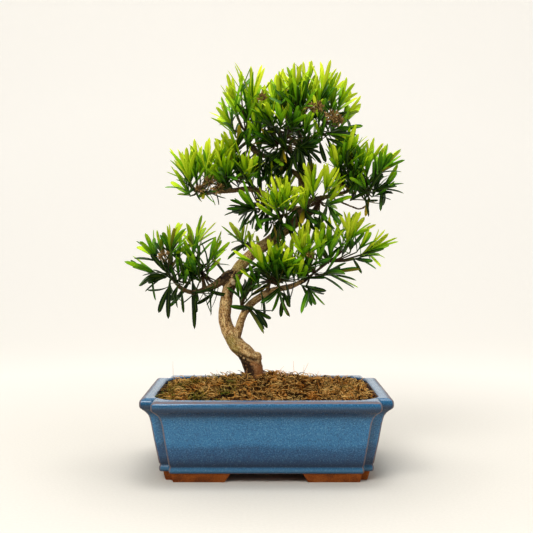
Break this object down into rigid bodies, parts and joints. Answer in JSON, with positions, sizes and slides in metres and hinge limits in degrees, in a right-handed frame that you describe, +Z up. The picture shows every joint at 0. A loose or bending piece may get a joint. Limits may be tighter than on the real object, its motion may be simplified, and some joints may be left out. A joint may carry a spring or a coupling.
{
  "type": "buddhist pine bonsai",
  "caption": "Small curved-trunk bonsai with narrow strap leaves in upswept pads, growing in moss-topped soil in a blue rectangular pot with indented corners and feet.",
  "frame": {"origin": "on the ground under the middle of the pot", "axes": "+Z up, X along the pot's long side, -Y towards the front of the tree"},
  "size_m": [0.2973, 0.2, 0.4444],
  "materials": {
    "glaze": "mottled mid-blue glaze, glossy, breaking to brown on the edges, over terracotta left bare on the feet",
    "screen": "black moulded drainage mesh",
    "soil": "dark granular bonsai soil",
    "moss": "dried stringy moss, orange-brown with green and yellow strands",
    "bark": "thin tan bark, rougher and browner towards the foot, with green film on the shaded side",
    "leaf": "leathery strap leaves, satin, lime when young and dark green when old"
  },
  "bodies": {
    "root": {"pot": "glaze", "drain_screen_left": "screen", "drain_screen_right": "screen", "soil": "soil", "moss": "moss", "wood": "bark", "crown_top": "leaf", "crown_left": "leaf", "crown_right": "leaf", "crown_front": "leaf", "crown_back": "leaf", "left_outer": "leaf", "left_inner": "leaf", "middle_left": "leaf", "middle_front": "leaf", "middle_right": "leaf", "right_inner": "leaf", "right_outer": "leaf", "lower_left_outer": "leaf", "lower_left_inner": "leaf", "trunk_shoot": "leaf", "fork_shoot": "leaf", "lower_right_inner": "leaf", "lower_right_outer": "leaf"}
  },
  "joints": []
}
